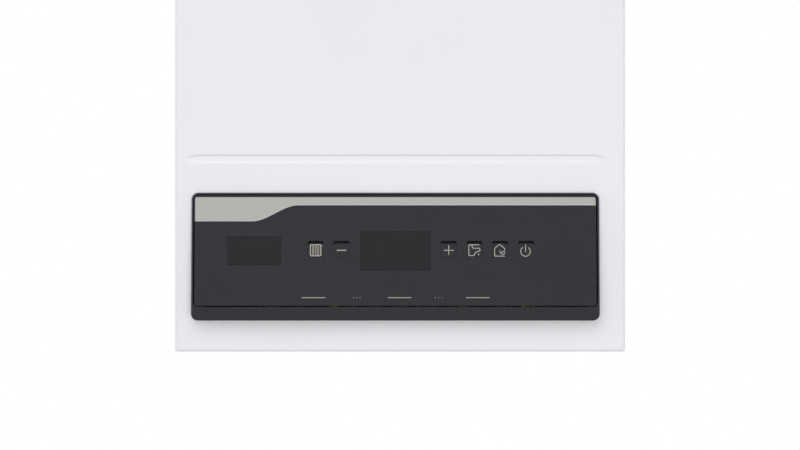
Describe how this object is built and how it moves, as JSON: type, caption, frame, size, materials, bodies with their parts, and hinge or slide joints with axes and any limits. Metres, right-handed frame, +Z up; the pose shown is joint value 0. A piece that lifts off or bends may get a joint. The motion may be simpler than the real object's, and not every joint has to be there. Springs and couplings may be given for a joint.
{
  "type": "combi boiler",
  "caption": "Wall-hung gas combi boiler: white sheet casing, pressed groove, dark tilted control panel with display windows and flap keys, fan flue on top.",
  "frame": {"origin": "centre of the rear face, on the wall, at half the casing's height", "axes": "+X to the viewer's right, +Y into the wall, +Z up; the front faces -Y"},
  "size_m": [0.43, 0.3179, 0.765],
  "materials": {
    "black_plastic": "moulded",
    "brass": "machined brass",
    "cast_aluminium": "die cast",
    "cast_iron": "painted casting",
    "ceramic": "glazed",
    "circuit_board": "solder mask",
    "copper": "copper, brushed",
    "dark_plastic": "dark grey fine texture",
    "fascia_plastic": "dark grey fine texture",
    "grey_plastic": "moulded",
    "red_lacquer": "red stove enamel",
    "red_plastic": "moulded",
    "silver_lacquer": "silver lacquer",
    "smoked_window": "smoked, smooth",
    "steel": "stainless",
    "white_enamel": "white powder coat",
    "zinc_sheet": "galvanised sheet"
  },
  "bodies": {
    "chassis": {"hanging_rail": "zinc_sheet", "back_plate": "zinc_sheet", "side_panel_left": "white_enamel", "side_panel_right": "white_enamel", "top_panel": "white_enamel", "bottom_plate": "zinc_sheet", "cover_screw_left": "steel", "cover_screw_right": "steel", "flue_collar": "white_enamel", "fan_housing": "zinc_sheet", "fan_motor": "black_plastic", "flue_hood": "zinc_sheet", "air_pressure_switch": "grey_plastic", "firebox": "zinc_sheet", "ignition_electrode": "ceramic", "heat_exchanger": "copper", "burner_tray": "zinc_sheet", "burner_bars": "steel", "gas_manifold": "cast_aluminium", "gas_valve": "cast_aluminium", "gas_inlet_pipe": "brass", "gas_supply_pipe": "steel", "flow_block": "brass", "diverter_motor": "black_plastic", "return_block": "brass", "pump_body": "cast_iron", "pump_motor": "black_plastic", "air_vent": "brass", "plate_exchanger": "steel", "relief_valve": "brass", "filling_valve": "brass", "flow_sensor": "black_plastic", "pressure_sensor": "brass", "heating_flow_pipe": "copper", "heating_return_pipe": "copper", "expansion_vessel": "red_lacquer", "vessel_hose": "steel", "cable_gland": "black_plastic"},
    "cover": {"front_cover": "white_enamel", "panel_frame": "dark_plastic"},
    "control_box": {"control_box_shell": "grey_plastic", "fascia_plate": "fascia_plastic", "silver_strip": "silver_lacquer", "window_small": "smoked_window", "window_large": "smoked_window", "display_board": "circuit_board", "main_board": "circuit_board"},
    "fan_wheel": {"fan_impeller": "steel"},
    "pump_wheel": {"pump_impeller": "grey_plastic"},
    "diverter": {"diverter_spindle": "steel"},
    "relief_handle": {"relief_knob": "red_plastic"},
    "filling_handle": {"filling_knob": "black_plastic"},
    "key_heating": {"key_heating": "fascia_plastic"},
    "key_minus": {"key_minus": "fascia_plastic"},
    "key_plus": {"key_plus": "fascia_plastic"},
    "key_hot_water": {"key_hot_water": "fascia_plastic"},
    "key_eco": {"key_eco": "fascia_plastic"},
    "key_power": {"key_power": "fascia_plastic"}
  },
  "joints": [
    {"name": "cover_slide", "type": "slide", "parent": "chassis", "child": "cover", "axis": [0, -1, 0], "range_m": [0, 0.3]},
    {"name": "control_box_tilt", "type": "hinge", "parent": "chassis", "child": "control_box", "pos_m": [-0.0044, -0.29, -0.33], "axis": [1, 0, 0], "range_deg": [0, 90]},
    {"name": "fan_spin", "type": "hinge", "parent": "chassis", "child": "fan_wheel", "pos_m": [0, -0.158, 0.285], "axis": [0, 1, 0], "continuous": true},
    {"name": "pump_spin", "type": "hinge", "parent": "chassis", "child": "pump_wheel", "pos_m": [0.134, -0.11, -0.264], "axis": [0, 1, 0], "continuous": true},
    {"name": "diverter_slide", "type": "slide", "parent": "chassis", "child": "diverter", "axis": [0, 0, 1], "range_m": [0, 0.006]},
    {"name": "relief_turn", "type": "hinge", "parent": "chassis", "child": "relief_handle", "pos_m": [0.076, -0.125, -0.292], "axis": [0, -1, 0], "range_deg": [0, 90]},
    {"name": "filling_turn", "type": "hinge", "parent": "chassis", "child": "filling_handle", "pos_m": [0.104, -0.098, -0.34], "axis": [0, 0, 1], "range_deg": [0, 90]},
    {"name": "key_heating_press", "type": "hinge", "parent": "control_box", "child": "key_heating", "pos_m": [-0.0807, -0.30937, -0.2797], "axis": [-1, 0, 0], "range_deg": [0, 3], "stiffness_Nm_per_rad": 0.3},
    {"name": "key_minus_press", "type": "hinge", "parent": "control_box", "child": "key_minus", "pos_m": [-0.0561, -0.30937, -0.2797], "axis": [-1, 0, 0], "range_deg": [0, 3], "stiffness_Nm_per_rad": 0.3},
    {"name": "key_plus_press", "type": "hinge", "parent": "control_box", "child": "key_plus", "pos_m": [0.0465, -0.30937, -0.2797], "axis": [-1, 0, 0], "range_deg": [0, 3], "stiffness_Nm_per_rad": 0.3},
    {"name": "key_hot_water_press", "type": "hinge", "parent": "control_box", "child": "key_hot_water", "pos_m": [0.0711, -0.30937, -0.2797], "axis": [-1, 0, 0], "range_deg": [0, 3], "stiffness_Nm_per_rad": 0.3},
    {"name": "key_eco_press", "type": "hinge", "parent": "control_box", "child": "key_eco", "pos_m": [0.0957, -0.30937, -0.2797], "axis": [-1, 0, 0], "range_deg": [0, 3], "stiffness_Nm_per_rad": 0.3},
    {"name": "key_power_press", "type": "hinge", "parent": "control_box", "child": "key_power", "pos_m": [0.1203, -0.30937, -0.2797], "axis": [-1, 0, 0], "range_deg": [0, 3], "stiffness_Nm_per_rad": 0.3}
  ],
  "couplings": [
    {"joint": "control_box_tilt", "follows": "cover_slide", "rad_per_m": 5.23}
  ]
}
